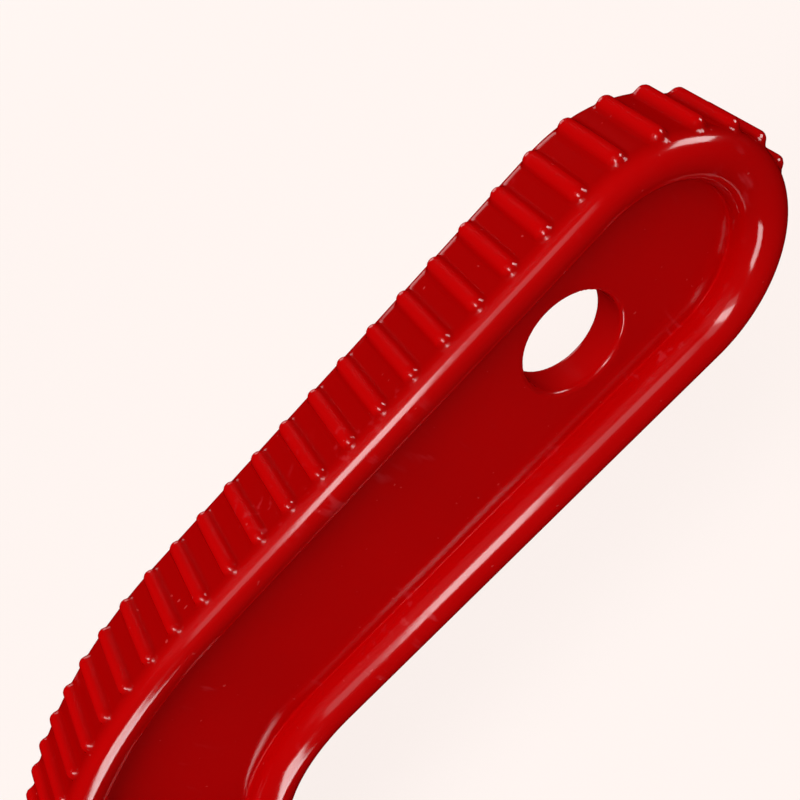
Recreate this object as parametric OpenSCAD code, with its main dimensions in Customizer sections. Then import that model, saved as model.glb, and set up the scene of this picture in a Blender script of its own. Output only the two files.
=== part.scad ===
// Neck duster brush: a one-piece moulded handle and head, drilled and filled with bristle tufts.
// X runs along the brush towards the hanging hole, Y is across it, and Z is up.
// The brush stands on its bristle tips, and the origin is on that plane, below the middle of the brush.

/* [Grip] */
// Height of the grip, seen from the side
grip_h = 25; // [24:0.1:26]
// Width of the grip across the rims
grip_w = 10; // [9.5:0.1:11]
// Length of the straight stretch of the grip
grip_straight = 45.1; // [44:0.1:60]
// Thickness of the rim that runs round the grip
rim_t = 4.3; // [3.9:0.1:4.5]
// Thickness of the web between the rims
web_t = 3.9; // [3.4:0.1:4.4]
// Radius of the tail above its tip
tail_top_r = 13.1; // [12.8:0.1:14]
// How much deeper the grip is at the tail than at the neck
tail_drop = 0.3; // [0:0.1:0.5]

/* [Grip ribs] */
// Distance from one rib to the next along the surface
rib_pitch = 3.52; // [3.2:0.02:3.6]
// Radius of a rib
rib_r = 0.77; // [0.5:0.01:0.9]
// Length of a rib over its round ends
rib_len = 7.6; // [6:0.1:8]
// Number of ribs from the start of the neck to the tip of the tail
grip_ribs = 19; // [15:1:19]
// Number of ribs over the neck
neck_ribs = 13; // [8:1:13]
// Distance from the start of the neck to the first rib on the grip
first_rib = 2.6; // [1:0.1:2.8]

/* [Hanging hole] */
// Diameter of the hanging hole
hole_d = 9.6; // [7:0.1:11]
// Distance from the middle of the hole to the tip of the tail
hole_to_tip = 20.6; // [18:0.1:30]

/* [Neck] */
// Radius of the back of the neck
neck_back_r = 56.6; // [54:0.1:60]
// Radius of the inner bend of the neck
neck_inner_r = 22; // [20:0.1:24]
// Angle that the neck leans down from the grip
neck_angle = 38; // [37:1:40]
// Radius of the bend that levels the neck into the head
level_r = 30; // [28:1:32]
// Radius of the flare from the web to the head, seen from above
flare_r = 30; // [28:1:32]

/* [Head] */
// Width of the head
head_w = 28; // [27:0.5:30]
// Thickness of the head
head_t = 12; // [11:0.1:13]
// Distance between the centres of the round ends of the head
head_core = 52; // [50:1:56]

/* [Bristles] */
// Free length of a tuft
tuft_len = 28; // [20:1:34]
// Diameter of a tuft where it enters the head
tuft_root_d = 3.6; // [3:0.1:4]
// Diameter of a tuft at its tips
tuft_tip_d = 5.4; // [4:0.1:5.6]
// Depth of a socket
socket_depth = 7; // [5:0.5:8]
// Distance between tufts along a row
tuft_pitch = 6; // [6:0.1:6.2]
// Distance between rows
row_pitch = 5.6; // [5.5:0.1:5.8]
// Number of tufts in an inner row
inner_tufts = 13; // [9:1:13]
// Width of a staple anchor across the socket
anchor_w = 4.6; // [4.2:0.1:5]
// Height of a staple anchor
anchor_h = 1.6; // [1:0.1:2]
// Thickness of a staple anchor
anchor_t = 0.4; // [0.3:0.05:0.5]

/* [Hidden] */
$fn = 96;
margin = 5;
far = 80;
arc_step = 3;
red = [0.72, 0, 0.02];
off_white = [0.93, 0.9, 0.82];
brass = [0.8, 0.65, 0.3];

// Side view: x is measured from where the neck meets the grip, and z from the back of the grip.
tip_x = grip_straight + tail_top_r;
tail_low_r = grip_h + tail_drop - tail_top_r;
tail_low_x = tip_x - tail_low_r;
inner_x = -3;
lean = [-cos(neck_angle), -sin(neck_angle)];
up_lean = [-sin(neck_angle), cos(neck_angle)];
back_c = [0, -neck_back_r];
back_end = back_c + neck_back_r * up_lean;
back_arc = neck_back_r * neck_angle * PI / 180;
inner_c = [inner_x, -grip_h - neck_inner_r];
inner_end = inner_c + neck_inner_r * up_lean;
level_drop = level_r * (1 - cos(neck_angle));
face_z = inner_end[1] - level_drop;
face_c = inner_end + level_r * up_lean;
head_top_z = face_z + head_t;
slope = (back_end[1] - level_drop - head_top_z) / sin(neck_angle);
slope_end = back_end + slope * lean;
level_c = slope_end + level_r * up_lean;

// Head, seen from above.
head_r = head_w / 2;
near_x = level_c[0] + 1;
far_x = near_x - head_core;
flare_in = web_t / 2 - 0.3;
flare_x = near_x + sqrt(pow(head_r + flare_r, 2) - pow(flare_in + flare_r, 2));
flare_c = [flare_x, flare_in + flare_r];
flare_touch = atan2(flare_x - near_x, flare_in + flare_r);

// Tufts: an outer row stands half a pitch off its neighbour and has one tuft less.
ROW_Y = [-1.5 * row_pitch, -0.5 * row_pitch, 0.5 * row_pitch, 1.5 * row_pitch];
ROW_TUFTS = [inner_tufts - 1, inner_tufts, inner_tufts, inner_tufts - 1];
head_mid_x = (near_x + far_x) / 2;
anchor_top = socket_depth - 0.9;

// Where the side view sits in the part's frame.
shift_x = -(tip_x + rib_r + far_x - head_r) / 2;
lift = tuft_len - face_z;

function tuft_x(row, i) = head_mid_x + (i - (ROW_TUFTS[row] - 1) / 2) * tuft_pitch;
function tuft_name(row, i) = str("tuft_r", row + 1, i < 9 ? "_0" : "_", i + 1);

// A point of the back, at a distance from the start of the neck towards the tail.
function back_point(s) =
    s > grip_straight ? tail_point((s - grip_straight) / tail_top_r * 180 / PI)
    : s >= 0 ? [s, 0]
    : -s < back_arc ? neck_point(s / back_arc * neck_angle)
    : back_end + (-s - back_arc) * lean;
function neck_point(turn) = neck_back_r * [sin(turn), cos(turn) - 1];
function tail_point(turn) = [grip_straight + tail_top_r * sin(turn), tail_top_r * (cos(turn) - 1)];

// Points on an arc. An angle of 0 is straight up, and angles grow clockwise.
function arc(c, r, from, to) = let (steps = ceil(abs(to - from) / arc_step))
    [for (k = [0:steps]) let (a = from + (to - from) * k / steps) c + r * [sin(a), cos(a)]];

// Lifts shapes from the side view's zero point into the part's frame.
module in_place() {
    translate([shift_x, 0, lift]) children();
}

// Side view of the whole body, drawn smaller by an inset all round.
module side_outline(inset) {
    head_low = face_z + inset;
    head_high = head_top_z - inset;
    polygon(concat(
        arc(back_c, neck_back_r - inset, -neck_angle, 0),
        arc([grip_straight, -tail_top_r], tail_top_r - inset, 0, 90),
        arc([tail_low_x, -tail_top_r], tail_low_r - inset, 90, 180),
        arc(inner_c, neck_inner_r + inset, 0, -neck_angle),
        arc(face_c, level_r - inset, 180 - neck_angle, 180),
        [[far_x - head_r, head_low], [far_x - head_r, head_high]],
        arc(level_c, level_r + inset, 180, 180 - neck_angle)
    ));
}

// The head and the flare on the +Y side, seen from above: the flare narrows to less than the web.
function head_edge() = concat(
    arc([far_x, 0], head_r, -90, 0),
    arc([near_x, 0], head_r, 0, flare_touch),
    arc(flare_c, flare_r, 180 + flare_touch - arc_step, 180)
);

// The head and the flare, seen from above. The far end is on the middle line, and isn't repeated.
module head_plan() {
    edge = head_edge();
    polygon(concat(edge, [for (k = [len(edge) - 1:-1:1]) [edge[k][0], -edge[k][1]]]));
}

// The space over and under the whole body, as it is seen from above.
module plan_space() {
    head_space();
    translate([near_x + margin, -grip_w / 2, -far]) cube([tip_x - near_x, grip_w, 2 * far]);
}

// The space over and under the head and the flare.
module head_space() {
    translate([0, 0, -far]) linear_extrude(2 * far) head_plan();
}

// The hollow on one side of the grip, which ends where the web begins to widen.
module hollow(side) {
    deep = (grip_w - web_t) / 2;
    difference() {
        translate([0, side * (web_t + deep + margin) / 2, 0]) slab(deep + margin) side_outline(rim_t);
        head_space();
    }
}

// Handle, neck and head without ribs or holes.
module blank() {
    difference() {
        intersection() {
            slab(head_w + margin) side_outline(0);
            plan_space();
        }
        for (side = [-1, 1]) hollow(side);
    }
}

// Stands a side view up and gives it a width.
module slab(width) {
    rotate([90, 0, 0]) translate([0, 0, -width / 2]) linear_extrude(width) children();
}

// A rod with round ends, half sunk in the surface.
module grip_rib() {
    core = rib_len - 2 * rib_r;
    rotate([90, 0, 0]) cylinder(r = rib_r, h = core, center = true);
    for (side = [-1, 1])
        translate([0, side * core / 2, 0]) sphere(r = rib_r);
}

// All the ribs, from the head end of the neck round to the tip of the tail.
module grip_rib_row() {
    for (i = [-neck_ribs:grip_ribs - 1]) {
        p = back_point(first_rib + i * rib_pitch);
        translate([p[0], 0, p[1]]) grip_rib();
    }
}

// Calls its children at the mouth of each socket.
module at_each_socket() {
    for (row = [0:3])
        for (i = [0:ROW_TUFTS[row] - 1])
            translate([tuft_x(row, i), ROW_Y[row], face_z]) children();
}

// A flat staple, driven into the head across a socket.
module anchor() {
    translate([-anchor_t / 2, -anchor_w / 2, anchor_top - anchor_h]) cube([anchor_t, anchor_w, anchor_h]);
}

// Handle, neck and head, moulded in one piece.
module brush_body() {
    color(red) in_place() difference() {
        union() {
            blank();
            grip_rib_row();
        }
        translate([tip_x - hole_to_tip, 0, -grip_h / 2]) rotate([90, 0, 0])
            cylinder(d = hole_d, h = grip_w, center = true);
        at_each_socket() {
            translate([0, 0, -1]) cylinder(d = tuft_root_d, h = socket_depth + 1);
            anchor();
        }
    }
}

// Flat wire staples, one driven across each socket to hold its tuft.
module staple_anchors() {
    color(brass) in_place() at_each_socket() anchor();
}

// One tuft: its root in the socket, round the staple, and its free length fanning out to the tips.
module tuft(row, i) {
    color(off_white) in_place() translate([tuft_x(row, i), ROW_Y[row], face_z]) difference() {
        union() {
            cylinder(d = tuft_root_d, h = socket_depth);
            translate([0, 0, -tuft_len]) cylinder(d1 = tuft_tip_d, d2 = tuft_root_d, h = tuft_len);
        }
        anchor();
    }
}

brush_body();
staple_anchors();
for (row = [0:3])
    for (i = [0:ROW_TUFTS[row] - 1])
        tuft(row, i);
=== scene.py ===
"""A barber's neck duster brush: a glossy red moulded handle and head, and 50 tufts of soft filaments."""

import math

import bpy
import numpy as np
from mathutils import Matrix, Vector


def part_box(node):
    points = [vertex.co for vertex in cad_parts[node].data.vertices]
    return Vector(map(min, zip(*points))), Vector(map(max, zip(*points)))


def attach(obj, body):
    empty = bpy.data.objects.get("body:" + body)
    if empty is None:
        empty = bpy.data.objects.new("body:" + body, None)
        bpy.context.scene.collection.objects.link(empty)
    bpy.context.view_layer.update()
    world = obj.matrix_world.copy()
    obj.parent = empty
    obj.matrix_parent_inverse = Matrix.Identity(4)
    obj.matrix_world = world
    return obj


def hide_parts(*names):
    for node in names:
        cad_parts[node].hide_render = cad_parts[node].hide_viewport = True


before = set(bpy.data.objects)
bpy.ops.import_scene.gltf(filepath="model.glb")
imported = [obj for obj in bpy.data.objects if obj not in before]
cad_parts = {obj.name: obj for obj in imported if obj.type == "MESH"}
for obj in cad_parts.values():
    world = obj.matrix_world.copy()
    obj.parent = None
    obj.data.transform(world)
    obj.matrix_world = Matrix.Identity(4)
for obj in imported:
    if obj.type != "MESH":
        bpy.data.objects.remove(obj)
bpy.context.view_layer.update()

# ---------------------------------------------------------------- sizes, in millimetres
MM = 0.001

GRIP_H = 25.0               # height of the grip, seen from the side
GRIP_W = 10.0               # width across its rims
GRIP_STRAIGHT = 45.1        # length of its straight stretch
RIM_T = 4.3                 # thickness of the rim that runs round it
RIM_OUTER_R = 1.7           # radius on the rim's outer edges
RIM_INNER_R = 2.6           # radius on its inner edges, which makes it a full round
WEB_T = 3.9                 # thickness of the web between the rims
WEB_CORNER_R = 0.2          # hollow corner between rim and web
TAIL_TOP_R = 13.1           # radius of the tail above its tip
TAIL_DROP = 0.3             # how much deeper the grip is at the tail than at the neck

RIB_PITCH = 3.52
RIB_R = 0.77
RIB_LEN = 7.6
RIB_CORNER_R = 0.35         # hollow corner round the foot of a rib
FIRST_RIB = 2.6             # from the start of the neck to the first rib on the grip
GRIP_RIBS = 19
NECK_RIBS = 13

HOLE_R = 4.8
HOLE_TO_TIP = 20.6
HOLE_EDGE_R = 0.45

NECK_BACK_R = 56.6
NECK_INNER_R = 22.0
NECK_INNER_X = -3.0
NECK_ANGLE = 38.0
LEVEL_R = 30.0              # bend that levels the neck into the head
FLARE_R = 30.0              # flare from the web to the head, seen from above

HEAD_R = 14.0
HEAD_T = 12.0
HEAD_CORE = 52.0            # between the centres of the head's round ends
HEAD_EDGE_R = 3.0
FACE_EDGE_R = 1.0           # radius round the tufted face

GRID = 0.3                  # mesh size of the moulding
RIB_REACH = RIB_R + 2.0     # how far from its axis a rib changes the field
CORNER_CORE = 0.25          # the corner's dull streak is full out to here,
CORNER_EDGE = 0.9           # and gone from here

# ---------------------------------------------------------------- places, worked out from the sizes
# Side view: x is measured from where the neck meets the grip, and z from the grip's back.
TIP_X = GRIP_STRAIGHT + TAIL_TOP_R
TAIL_LOW_R = GRIP_H + TAIL_DROP - TAIL_TOP_R
TAIL_LOW_X = TIP_X - TAIL_LOW_R


def turned(angle):
    """A unit vector at an angle from straight up, growing clockwise, in the side view."""
    a = math.radians(angle)
    return np.array([math.sin(a), math.cos(a)])


UP_LEAN = turned(-NECK_ANGLE)
ALONG_LEAN = turned(-90.0 - NECK_ANGLE)
BACK_C = np.array([0.0, -NECK_BACK_R])
BACK_END = BACK_C + NECK_BACK_R * UP_LEAN
INNER_C = np.array([NECK_INNER_X, -GRIP_H - NECK_INNER_R])
INNER_END = INNER_C + NECK_INNER_R * UP_LEAN
LEVEL_DROP = LEVEL_R * (1.0 - math.cos(math.radians(NECK_ANGLE)))
FACE_Z = INNER_END[1] - LEVEL_DROP
FACE_C = INNER_END + LEVEL_R * UP_LEAN
HEAD_TOP_Z = FACE_Z + HEAD_T
SLOPE = (BACK_END[1] - LEVEL_DROP - HEAD_TOP_Z) / math.sin(math.radians(NECK_ANGLE))
SLOPE_END = BACK_END + SLOPE * ALONG_LEAN
LEVEL_C = SLOPE_END + LEVEL_R * UP_LEAN

NEAR_X = LEVEL_C[0] + 1.0
FAR_X = NEAR_X - HEAD_CORE
WEB_Y = WEB_T / 2
FLARE_X = NEAR_X + math.sqrt((HEAD_R + FLARE_R) ** 2 - (WEB_Y + FLARE_R) ** 2)
FLARE_C = np.array([FLARE_X, WEB_Y + FLARE_R])
FLARE_TOUCH = math.degrees(math.atan2(FLARE_X - NEAR_X, WEB_Y + FLARE_R))

HOLE_X = TIP_X - HOLE_TO_TIP
HOLE_Z = -GRIP_H / 2

# Where the outer edges' radius changes from the rim's to the head's, and from the face's to the top's.
HEAD_EDGE_START_X = BACK_END[0] + 8.0
HEAD_EDGE_FULL_X = NEAR_X + 4.0
TOP_EDGE_START_Z = FACE_Z + 2.0
TOP_EDGE_FULL_Z = FACE_Z + 8.0

# The side view's zero point, in the part's frame.
body_low, body_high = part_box("brush_body")
ORIGIN = np.array([body_high[0] / MM - TIP_X - RIB_R, 0.0, body_low[2] / MM - FACE_Z])


# ---------------------------------------------------------------- distances to outlines of lines and arcs
def line_piece(x, y, a, b):
    """Distance to the line from a to b, and the side: positive on its left."""
    run = np.subtract(b, a)
    length = math.hypot(*run)
    ux, uy = run / length
    dx, dy = x - a[0], y - a[1]
    along = np.clip(dx * ux + dy * uy, 0.0, length)
    return np.hypot(dx - along * ux, dy - along * uy), ux * dy - uy * dx


def arc_piece(x, y, centre, r, start, end, bulge):
    """Distance to an arc, and the side: positive outside it if bulge is 1, inside it if bulge is -1."""
    dx, dy = x - centre[0], y - centre[1]
    rho = np.hypot(dx, dy)
    middle, half = (start + end) / 2, abs(end - start) / 2
    off = np.abs((np.degrees(np.arctan2(dx, dy)) - middle + 180.0) % 360.0 - 180.0)
    p, q = centre + r * turned(start), centre + r * turned(end)
    to_ends = np.minimum(np.hypot(x - p[0], y - p[1]), np.hypot(x - q[0], y - q[1]))
    return np.where(off > half, to_ends, np.abs(rho - r)), bulge * (rho - r)


def outline_distance(pieces):
    """Signed distance to an outline, negative inside it, from each piece's distance and side."""
    best, signed = None, None
    for away, side in pieces:
        value = np.where(side < 0, -away, away)
        if best is None:
            best, signed = away, value
        else:
            nearer = away < best
            best, signed = np.where(nearer, away, best), np.where(nearer, value, signed)
    return signed


def side_distance(x, z):
    """Signed distance to the side view's outline, which runs past the end of the head."""
    far = FAR_X - 2 * HEAD_R
    tail_top_c, tail_low_c = np.array([GRIP_STRAIGHT, -TAIL_TOP_R]), np.array([TAIL_LOW_X, -TAIL_TOP_R])
    lowest = -GRIP_H - TAIL_DROP
    return outline_distance([
        line_piece(x, z, (far, HEAD_TOP_Z), (LEVEL_C[0], HEAD_TOP_Z)),
        arc_piece(x, z, LEVEL_C, LEVEL_R, 180.0, 180.0 - NECK_ANGLE, -1),
        line_piece(x, z, SLOPE_END, BACK_END),
        arc_piece(x, z, BACK_C, NECK_BACK_R, -NECK_ANGLE, 0.0, 1),
        line_piece(x, z, (0.0, 0.0), (GRIP_STRAIGHT, 0.0)),
        arc_piece(x, z, tail_top_c, TAIL_TOP_R, 0.0, 90.0, 1),
        arc_piece(x, z, tail_low_c, TAIL_LOW_R, 90.0, 180.0, 1),
        line_piece(x, z, (TAIL_LOW_X, lowest), (NECK_INNER_X, -GRIP_H)),
        arc_piece(x, z, INNER_C, NECK_INNER_R, -NECK_ANGLE, 0.0, -1),
        arc_piece(x, z, FACE_C, LEVEL_R, 180.0 - NECK_ANGLE, 180.0, 1),
        line_piece(x, z, (FACE_C[0], FACE_Z), (far, FACE_Z)),
    ])


def plan_distance(x, y):
    """Signed distance to the outline of head, flare and web, seen from above; y is never negative."""
    far_c, near_c = np.array([FAR_X, 0.0]), np.array([NEAR_X, 0.0])
    return outline_distance([
        arc_piece(x, y, far_c, HEAD_R, -90.0, 0.0, 1),
        line_piece(x, y, (FAR_X, HEAD_R), (NEAR_X, HEAD_R)),
        arc_piece(x, y, near_c, HEAD_R, 0.0, FLARE_TOUCH, 1),
        arc_piece(x, y, FLARE_C, FLARE_R, 180.0 + FLARE_TOUCH, 180.0, -1),
        line_piece(x, y, (FLARE_X, WEB_Y), (2 * TIP_X, WEB_Y)),
    ])


# ---------------------------------------------------------------- the moulding, as a distance field
def round_union(a, b, r):
    """Both shapes, with a hollow corner of radius r where they meet."""
    return np.maximum(r, np.minimum(a, b)) - np.hypot(np.maximum(r - a, 0.0), np.maximum(r - b, 0.0))


def round_common(a, b, r):
    """What lies in both shapes, with an outer corner of radius r where they cross."""
    return np.minimum(-r, np.maximum(a, b)) + np.hypot(np.maximum(r + a, 0.0), np.maximum(r + b, 0.0))


def ease(value, start, end):
    """0 before start, 1 after end, and a smooth rise between them."""
    t = np.clip((value - start) / (end - start), 0.0, 1.0)
    return t * t * (3.0 - 2.0 * t)


def edge_radius(x, z):
    """The radius on the outer edges, which grows from the grip to the head's upper edge."""
    head = ease(x, HEAD_EDGE_START_X, HEAD_EDGE_FULL_X)
    upper = ease(z, TOP_EDGE_START_Z, TOP_EDGE_FULL_Z)
    return RIM_OUTER_R + head * (FACE_EDGE_R - RIM_OUTER_R + upper * (HEAD_EDGE_R - FACE_EDGE_R))


def moulding(x, y, z):
    """Handle, neck and head without the ribs: negative inside the plastic."""
    y = np.abs(y)
    side = side_distance(x, z)
    slab = np.maximum(round_common(y - GRIP_W / 2, -side - RIM_T, RIM_INNER_R), NEAR_X - x)
    core = plan_distance(x, y)
    solid = round_common(round_union(slab, core, WEB_CORNER_R), side, edge_radius(x, z))
    return round_common(solid, HOLE_R - np.hypot(x - HOLE_X, z - HOLE_Z), HOLE_EDGE_R)


def back_point(s):
    """A point of the back, at a distance s from the start of the neck towards the tail."""
    back_arc = NECK_BACK_R * math.radians(NECK_ANGLE)
    if s > GRIP_STRAIGHT:
        turn = math.degrees((s - GRIP_STRAIGHT) / TAIL_TOP_R)
        return np.array([GRIP_STRAIGHT, -TAIL_TOP_R]) + TAIL_TOP_R * turned(turn)
    if s >= 0:
        return np.array([s, 0.0])
    if s > -back_arc:
        return BACK_C + NECK_BACK_R * turned(math.degrees(s / NECK_BACK_R))
    return BACK_END + (-s - back_arc) * ALONG_LEAN


RIBS = [back_point(FIRST_RIB + k * RIB_PITCH) for k in range(-NECK_RIBS, GRIP_RIBS)]


def ribbed(field, x, y, z):
    """Adds the ribs to the field's values at the points x, y, z."""
    past_core = np.maximum(np.abs(y) - (RIB_LEN / 2 - RIB_R), 0.0)
    for rib in RIBS:
        near = np.nonzero((np.abs(x - rib[0]) < RIB_REACH) & (np.abs(z - rib[1]) < RIB_REACH))[0]
        away = np.sqrt((x[near] - rib[0]) ** 2 + (z[near] - rib[1]) ** 2 + past_core[near] ** 2)
        field[near] = round_union(field[near], away - RIB_R, RIB_CORNER_R)
    return field


def body_field(p):
    """The whole moulding's field at points p, one point to a row."""
    x, y, z = p[:, 0], p[:, 1], p[:, 2]
    return ribbed(moulding(x, y, z), x, y, z)


def gradient(p, field, step=0.02):
    """The field's slope at points p, from differences."""
    return np.stack([(field(p + d) - field(p - d)) / (2 * step) for d in np.eye(3) * step], axis=1)


# ---------------------------------------------------------------- a mesh from the field
def net_cells(values):
    """The cells that the surface passes through, and the quads that join them."""
    inside = values < 0
    nx, ny, nz = (size - 1 for size in inside.shape)
    corners = sum(
        inside[i:nx + i, j:ny + j, k:nz + k].astype(np.uint8)
        for i in (0, 1) for j in (0, 1) for k in (0, 1)
    )
    cells = np.argwhere((corners > 0) & (corners < 8))
    index = np.full(corners.shape, -1, dtype=np.int64)
    index[tuple(cells.T)] = np.arange(len(cells))
    quads = []
    for axis in range(3):
        a, b = np.eye(3, dtype=int)[(axis + 1) % 3], np.eye(3, dtype=int)[(axis + 2) % 3]
        first = np.take(inside, range(inside.shape[axis] - 1), axis)
        second = np.take(inside, range(1, inside.shape[axis]), axis)
        at = np.argwhere(first != second)
        ring = np.stack([index[tuple((at - shift).T)] for shift in (a + b, b, 0 * a, a)], axis=1)
        outward = first[tuple(at.T)]
        quads.append(np.where(outward[:, None], ring, ring[:, ::-1]))
    return cells, np.concatenate(quads)


def relax(points, quads):
    """Moves each point half-way to the middle of its neighbours."""
    total, count = np.zeros_like(points), np.zeros(len(points))
    for k in range(4):
        here, there = quads[:, k], quads[:, (k + 1) % 4]
        for one, other in ((here, there), (there, here)):
            for axis in range(3):
                total[:, axis] += np.bincount(one, points[other, axis], len(points))
            count += np.bincount(one, minlength=len(points))
    return (points + total / count[:, None]) / 2


def onto_surface(points, field, rounds):
    """Moves points along the field's slope until they lie on the surface."""
    for _ in range(rounds):
        slope = gradient(points, field)
        steepness = np.maximum((slope ** 2).sum(axis=1), 0.05)
        move = slope * (field(points) / steepness)[:, None]
        length = np.linalg.norm(move, axis=1, keepdims=True)
        points = points - move * np.minimum(1.0, 0.5 * GRID / np.maximum(length, 1e-9))
    return points


def mesh_object(name, points, faces, material, normals=None):
    """A smooth-shaded object from millimetre points in the part's frame."""
    mesh = bpy.data.meshes.new(name)
    mesh.vertices.add(len(points))
    mesh.vertices.foreach_set("co", (points * MM).astype(np.float32).ravel())
    sides = faces.shape[1]
    mesh.loops.add(faces.size)
    mesh.loops.foreach_set("vertex_index", faces.astype(np.int32).ravel())
    mesh.polygons.add(len(faces))
    mesh.polygons.foreach_set("loop_start", np.arange(0, faces.size, sides, dtype=np.int32))
    mesh.update(calc_edges=True)
    mesh.validate()
    mesh.shade_smooth()
    if normals is not None:
        mesh.normals_split_custom_set_from_vertices(normals.tolist())
    piece = bpy.data.objects.new(name, mesh)
    bpy.context.collection.objects.link(piece)
    mesh.materials.append(material)
    return piece


def in_corner(p):
    """1 in the corner of rim and web, falling to 0 away from it."""
    side = side_distance(p[:, 0], p[:, 2])
    return 1.0 - ease(np.hypot(side + RIM_T, np.abs(p[:, 1]) - WEB_Y), CORNER_CORE, CORNER_EDGE)


def between_ribs(p):
    """1 between the ribs, falling to 0 on them and away from them."""
    x, y, z = p[:, 0], np.abs(p[:, 1]), p[:, 2]
    nearest = np.min([np.hypot(x - rib[0], z - rib[1]) for rib in RIBS], axis=0)
    beside = 1.0 - ease(nearest, 0.6 * RIB_PITCH, RIB_PITCH)
    low = 1.0 - ease(side_distance(x, z), 0.05, 0.4)
    return beside * low * (1.0 - ease(y, RIB_LEN / 2 - 0.5, RIB_LEN / 2 + 0.8))


def make_moulding(material):
    """The red body, with every point on the field's surface and normals from its slope."""
    low = np.array([FAR_X - HEAD_R, -HEAD_R, FACE_Z]) - 3 * GRID
    high = np.array([TIP_X + RIB_R, HEAD_R, RIB_R]) + 3 * GRID
    ax, ay, az = (np.arange(a, b, GRID) for a, b in zip(low, high))
    values = moulding(ax[:, None, None], ay[None, :, None], az[None, None, :])
    near = np.nonzero(np.abs(values) < RIB_R + 3 * GRID)
    values[near] = body_field(np.stack([ax[near[0]], ay[near[1]], az[near[2]]], axis=1))
    cells, quads = net_cells(values)
    points = low + (cells + 0.5) * GRID
    points = onto_surface(points, body_field, 3)
    for _ in range(2):
        points = onto_surface(relax(points, quads), body_field, 2)
    normals = gradient(points, body_field)
    normals /= np.maximum(np.linalg.norm(normals, axis=1, keepdims=True), 1e-9)
    body = mesh_object("moulded_body", points + ORIGIN, quads, material, normals)
    for name, mask in (("in_corner", in_corner), ("between_ribs", between_ribs)):
        layer = body.data.attributes.new(name, "FLOAT", "POINT")
        layer.data.foreach_set("value", mask(points).astype(np.float32))
    return body


# ---------------------------------------------------------------- tufts
FILAMENTS = 96
FILAMENT_R = 0.095
FILAMENT_SIDES = 5
GOLDEN_ANGLE = math.pi * (3.0 - math.sqrt(5.0))

BUNDLE_R = 1.66             # radius of the bundle in its socket
START_DEPTH = 1.5           # how deep in the socket the filaments start
FAN_POWER = 1.4             # above 1, the bundle opens more towards its tips
LEAN_SPREAD = 0.16
CURL_SPREAD = 0.22
TIP_SPREAD = 0.28           # how uneven the tips are
TIP_CROWN = 0.25            # how much shorter the outermost filaments are

# Places along a filament, from 0 at its start to 1 at its tip, and its relative thickness there.
STATIONS = np.array([0.0, 0.08, 0.25, 0.45, 0.65, 0.83, 0.985, 1.0])
WIDTHS = np.array([1.0, 1.0, 1.0, 0.98, 0.93, 0.86, 0.76, 0.35])


def make_tuft(node, seed, material):
    """A tuft of separate filaments, which leave the socket together and fan out to uneven tips."""
    rng = np.random.default_rng(seed)
    low, high = (np.array(corner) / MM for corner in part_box(node))
    centre = (low + high) / 2
    tip_r = (high[0] - low[0]) / 2 - FILAMENT_R
    n = FILAMENTS
    ring = np.sqrt((np.arange(n) + 0.5) / n)
    angle = np.arange(n) * GOLDEN_ANGLE + rng.uniform(0, 2 * math.pi)
    out = np.stack([np.cos(angle), np.sin(angle)], axis=1)
    lean = out * (ring * (tip_r - BUNDLE_R))[:, None] + rng.normal(0, LEAN_SPREAD, (n, 2))
    curl = rng.normal(0, CURL_SPREAD, (n, 2))
    tip_z = low[2] + np.abs(rng.normal(0, TIP_SPREAD, n)) + TIP_CROWN * ring ** 4
    start_z = body_low[2] / MM + START_DEPTH
    t = STATIONS[None, :, None]
    path = (out * (ring * BUNDLE_R)[:, None])[:, None, :] + lean[:, None, :] * t ** FAN_POWER
    path = path + curl[:, None, :] * np.sin(math.pi * t) * t
    z = start_z + (tip_z[:, None] - start_z) * STATIONS[None, :]
    around = np.arange(FILAMENT_SIDES) * 2 * math.pi / FILAMENT_SIDES
    section = np.stack([np.cos(around), np.sin(around)], axis=1) * FILAMENT_R
    xy = centre[:2] + path[:, :, None, :] + section[None, None] * WIDTHS[None, :, None, None]
    zz = np.broadcast_to(z[:, :, None, None], xy.shape[:3] + (1,))
    points = np.concatenate([xy, zz], axis=3).reshape(-1, 3)
    rings = len(STATIONS)
    grid = np.arange(n * rings * FILAMENT_SIDES).reshape(n, rings, FILAMENT_SIDES)
    a, b = grid[:, :-1, :], grid[:, 1:, :]
    faces = np.stack([a, b, np.roll(b, -1, axis=2), np.roll(a, -1, axis=2)], axis=3).reshape(-1, 4)
    return mesh_object("bristles_" + node.removeprefix("tuft_"), points, faces, material)


# ---------------------------------------------------------------- materials
def new_material(name):
    """A material, its node tree and its main shader."""
    material = bpy.data.materials.new(name)
    material.use_nodes = True
    shader = material.node_tree.nodes["Principled BSDF"]
    return material, material.node_tree, shader


def add(tree, kind, **settings):
    """A shader node with its settings; a key with a capital first letter sets an input's value."""
    node = tree.nodes.new(kind)
    for key, value in settings.items():
        if key[0].isupper():
            node.inputs[key.replace("_", " ")].default_value = value
        else:
            setattr(node, key, value)
    return node


def noise(tree, coordinates, scale, detail=2.0, stretch=(1, 1, 1)):
    """Noise over the object's own coordinates; scale is in features per metre."""
    mapping = add(tree, "ShaderNodeMapping", Scale=stretch)
    texture = add(tree, "ShaderNodeTexNoise", Scale=scale, Detail=detail)
    tree.links.new(coordinates, mapping.inputs["Vector"])
    tree.links.new(mapping.outputs["Vector"], texture.inputs["Vector"])
    return texture.outputs["Fac"]


def ramp(tree, value, stops):
    """The colours of the stops, each with its place from 0 to 1, picked by the value."""
    node = tree.nodes.new("ShaderNodeValToRGB")
    elements = node.color_ramp.elements
    while len(elements) < len(stops):
        elements.new(0.5)
    for element, (position, colour) in zip(elements, stops):
        element.position, element.color = position, colour
    tree.links.new(value, node.inputs["Fac"])
    return node.outputs["Color"]


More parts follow.
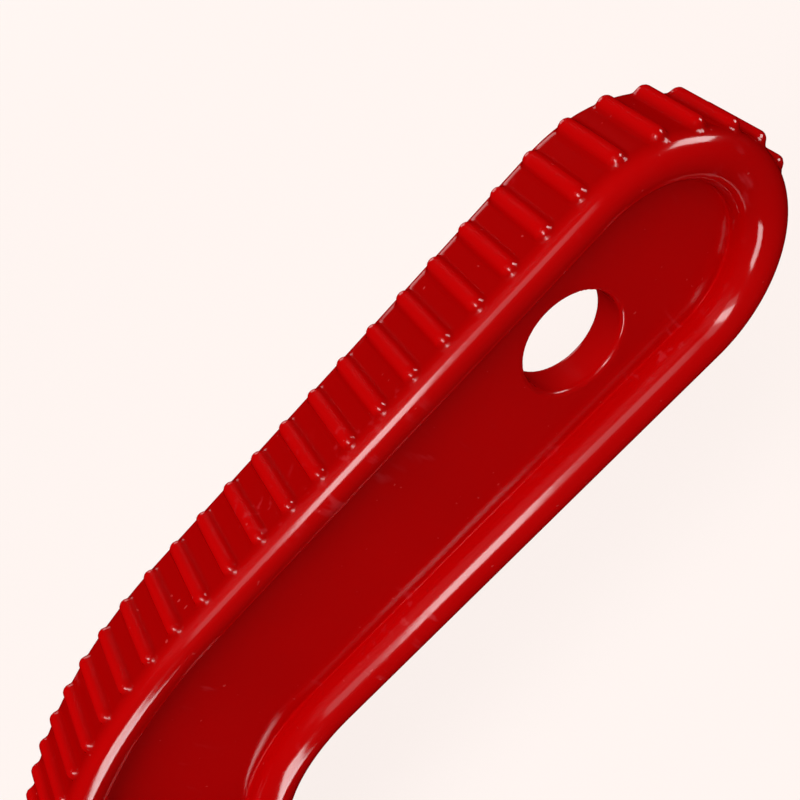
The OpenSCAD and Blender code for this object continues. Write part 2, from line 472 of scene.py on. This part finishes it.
def remap(tree, value, start, end, low=0.0, high=1.0):
    """The value, mapped from the span of start and end to that of low and high, and kept within it."""
    node = add(tree, "ShaderNodeMapRange", From_Min=start, From_Max=end, To_Min=low, To_Max=high)
    tree.links.new(value, node.inputs["Value"])
    return node.outputs["Result"]


def arithmetic(tree, operation, *values):
    """A maths node on sockets and plain numbers."""
    node = add(tree, "ShaderNodeMath", operation=operation)
    for socket, value in zip(node.inputs, values):
        if isinstance(value, float):
            socket.default_value = value
        else:
            tree.links.new(value, socket)
    return node.outputs["Value"]


def times(tree, value, factor):
    """The value times the factor, which can be a socket too."""
    return arithmetic(tree, "MULTIPLY", value, factor)


def blend(tree, factor, colour, other):
    """The colour where the factor is 0, and the other colour where it is 1."""
    node = add(tree, "ShaderNodeMix", data_type="RGBA")
    a, b = (socket for socket in node.inputs if socket.type == "RGBA")
    tree.links.new(factor, node.inputs["Factor"])
    tree.links.new(colour, a)
    b.default_value = other
    return next(socket for socket in node.outputs if socket.type == "RGBA")


def red_plastic():
    """Glossy red plastic with less shine in its hollows, painted shade that darkens its colour between
    the ribs, an uneven skin, faint scuffs and fine specks.
    """
    material, tree, shader = new_material("red_plastic")
    where = tree.nodes.new("ShaderNodeTexCoord").outputs["Object"]
    corner = add(tree, "ShaderNodeAttribute", attribute_name="in_corner").outputs["Fac"]
    between = add(tree, "ShaderNodeAttribute", attribute_name="between_ribs").outputs["Fac"]
    cloud = noise(tree, where, 60.0, 3.0)
    colour = ramp(tree, cloud, [(0.3, (0.46, 0.0, 0.0003, 1)), (0.7, (0.50, 0.0, 0.0004, 1))])
    # Painted shade: the colour is darkened between the ribs, where shade falls in the gaps.
    colour = blend(tree, times(tree, between, 0.65), colour, (0.25, 0.0, 0.0, 1))
    handled = remap(tree, noise(tree, where, 130.0, 1.0), 0.6, 0.7)
    streaks = remap(tree, noise(tree, where, 1100.0, 2.0, (1, 1, 0.2)), 0.58, 0.7)
    scuffs = times(tree, times(tree, handled, streaks), 0.35)
    specks = times(tree, remap(tree, noise(tree, where, 1900.0, 0.0), 0.84, 0.88), 0.5)
    colour = blend(tree, scuffs, colour, (0.60, 0.03, 0.04, 1))
    colour = blend(tree, specks, colour, (0.62, 0.06, 0.06, 1))
    tree.links.new(colour, shader.inputs["Base Color"])
    grain = remap(tree, noise(tree, where, 900.0, 2.0), 0.0, 1.0, 0.1, 0.15)
    rough = arithmetic(tree, "MULTIPLY_ADD", scuffs, 0.25, grain)
    tree.links.new(rough, shader.inputs["Roughness"])
    dull = arithmetic(tree, "MAXIMUM", corner, times(tree, between, 0.7))
    tree.links.new(remap(tree, dull, 0.0, 1.0, 0.5, 0.04), shader.inputs["Specular IOR Level"])
    peel = noise(tree, where, 400.0, 2.0)
    bump = add(tree, "ShaderNodeBump", Strength=0.05, Distance=0.0002)
    tree.links.new(peel, bump.inputs["Height"])
    tree.links.new(bump.outputs["Normal"], shader.inputs["Normal"])
    return material


def bristle_nylon():
    """Off-white nylon, with tones that change from filament to filament."""
    material, tree, shader = new_material("bristle_nylon")
    where = tree.nodes.new("ShaderNodeTexCoord").outputs["Object"]
    streak = noise(tree, where, 2500.0, 2.0, (1, 1, 0.02))
    colour = ramp(tree, streak, [(0.3, (0.76, 0.71, 0.60, 1)), (0.7, (0.95, 0.92, 0.84, 1))])
    tree.links.new(colour, shader.inputs["Base Color"])
    shader.inputs["Roughness"].default_value = 0.38
    shader.inputs["Subsurface Weight"].default_value = 0.15
    shader.inputs["Subsurface Radius"].default_value = (0.001, 0.0008, 0.0005)
    return material


def staple_brass():
    """Brass wire with an uneven tone."""
    material, tree, shader = new_material("staple_brass")
    where = tree.nodes.new("ShaderNodeTexCoord").outputs["Object"]
    tone = noise(tree, where, 1500.0, 3.0)
    colour = ramp(tree, tone, [(0.3, (0.55, 0.38, 0.12, 1)), (0.7, (0.78, 0.60, 0.28, 1))])
    tree.links.new(colour, shader.inputs["Base Color"])
    shader.inputs["Metallic"].default_value = 1.0
    tree.links.new(remap(tree, tone, 0.0, 1.0, 0.25, 0.4), shader.inputs["Roughness"])
    return material


def floor_paint():
    """A pale floor that shines a little of its own, so that shadows stay faint on it."""
    material, _, shader = new_material("floor_paint")
    shader.inputs["Base Color"].default_value = (0.15, 0.138, 0.133, 1)
    shader.inputs["Roughness"].default_value = 0.9
    shader.inputs["Specular IOR Level"].default_value = 0.0
    shader.inputs["Emission Color"].default_value = (1.0, 0.92, 0.886, 1)
    shader.inputs["Emission Strength"].default_value = 0.84
    material.cycles.emission_sampling = "NONE"
    return material


# ---------------------------------------------------------------- stage, light and camera
# The camera and the lamps are set round a point of the grip, given from the side view's zero point.
AIM_OFFSET = np.array([14.314, 0.0, -16.333])
AIM = Vector((ORIGIN + AIM_OFFSET) * MM)
LAMP_DISTANCE = 0.6
FLOOR_REACH = 6.0
WORLD_LIGHT = 0.42          # what the surroundings give as light
WORLD_SEEN = 0.94           # how bright the background looks


def make_floor():
    """A wide floor that the plastic doesn't mirror, and that gives it no light."""
    r = FLOOR_REACH
    mesh = bpy.data.meshes.new("floor")
    corners = [(-r, -r, 0), (r, -r, 0), (r, r, 0), (-r, r, 0)]
    mesh.from_pydata(corners, [], [(0, 1, 2, 3)])
    mesh.materials.append(floor_paint())
    floor = bpy.data.objects.new("floor", mesh)
    floor.visible_glossy = False
    floor.visible_diffuse = False
    bpy.context.collection.objects.link(floor)


def soft_box(name, azimuth, elevation, wide, tall, radiance, mirrored=True):
    """A rectangular lamp seen from AIM at these angles, with its width and height as angles too.

    A mirrored lamp only makes highlights, and any other lamp only lights what it shines on.
    """
    a, e = math.radians(azimuth), math.radians(elevation)
    direction = Vector((math.cos(a) * math.cos(e), math.sin(a) * math.cos(e), math.sin(e)))
    lamp = bpy.data.lights.new(name, "AREA")
    lamp.shape = "RECTANGLE"
    lamp.size = 2 * LAMP_DISTANCE * math.tan(math.radians(wide / 2))
    lamp.size_y = 2 * LAMP_DISTANCE * math.tan(math.radians(tall / 2))
    lamp.energy = radiance * math.pi * lamp.size * lamp.size_y
    holder = bpy.data.objects.new(name, lamp)
    holder.location = AIM + LAMP_DISTANCE * direction
    holder.rotation_euler = (-direction).to_track_quat("-Z", "Y").to_euler()
    holder.visible_camera = False
    holder.visible_glossy = mirrored
    holder.visible_diffuse = not mirrored
    bpy.context.collection.objects.link(holder)


def make_light():
    """Soft light from all round, two large lamps, and the soft boxes that the plastic mirrors."""
    world = bpy.data.worlds.new("studio")
    world.use_nodes = True
    tree = world.node_tree
    background = tree.nodes["Background"]
    background.inputs["Color"].default_value = (1.0, 0.93, 0.90, 1)
    seen = tree.nodes.new("ShaderNodeLightPath").outputs["Is Camera Ray"]
    tree.links.new(remap(tree, seen, 0.0, 1.0, WORLD_LIGHT, WORLD_SEEN), background.inputs["Strength"])
    world.cycles_visibility.glossy = False
    bpy.context.scene.world = world
    bpy.context.scene.view_settings.view_transform = "Standard"
    soft_box("overhead", -115.0, 60.0, 40.0, 40.0, 5.0, mirrored=False)
    soft_box("front_box", -101.0, 32.0, 12.0, 27.0, 9.0)
    soft_box("front_halo", -99.0, 33.0, 36.0, 24.0, 1.1)
    soft_box("left_box", -131.0, -14.0, 12.0, 35.0, 9.0)
    soft_box("right_box", -19.0, 8.0, 19.0, 23.0, 9.0)
    soft_box("back_box", 80.0, 16.0, 24.0, 24.0, 2.0)
    soft_box("back_fill", 70.0, 15.0, 40.0, 40.0, 3.2, mirrored=False)


# The camera looks at a point of the grip from the photograph's side, height and roll.
AZIMUTH, ELEVATION, ROLL = 18.39, 48.18, 59.69
DISTANCE = 0.09322
LENS = 45.34
SHIFT_UP = 0.175


def make_camera():
    """The camera, turned about its line of sight by the roll."""
    a, e, roll = map(math.radians, (AZIMUTH, ELEVATION, ROLL))
    ahead = Vector((-math.sin(a) * math.cos(e), math.cos(a) * math.cos(e), -math.sin(e)))
    level = Vector((math.cos(a), math.sin(a), 0.0))
    up = level.cross(ahead)
    leaning = math.cos(roll) * up + math.sin(roll) * level
    across = ahead.cross(leaning)
    camera = bpy.data.objects.new("camera", bpy.data.cameras.new("camera"))
    turn = Matrix((across, leaning, -ahead)).transposed()
    camera.matrix_world = Matrix.Translation(AIM - DISTANCE * ahead) @ turn.to_4x4()
    camera.data.lens = LENS
    camera.data.shift_y = SHIFT_UP
    camera.data.clip_start = 0.005
    bpy.context.collection.objects.link(camera)
    bpy.context.scene.camera = camera


# ---------------------------------------------------------------- the scene
def paint(node, material):
    """Gives a carried-over node its only material."""
    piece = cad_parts[node]
    piece.data.materials.clear()
    piece.data.materials.append(material)


make_camera()
make_floor()
make_light()

body = make_moulding(red_plastic())
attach(body, "root")
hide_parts("brush_body")

nylon = bristle_nylon()
TUFTS = sorted(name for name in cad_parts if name.startswith("tuft_"))
for number, name in enumerate(TUFTS):
    bristles = make_tuft(name, number, nylon)
    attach(bristles, "root")
    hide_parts(name)

paint("staple_anchors", staple_brass())
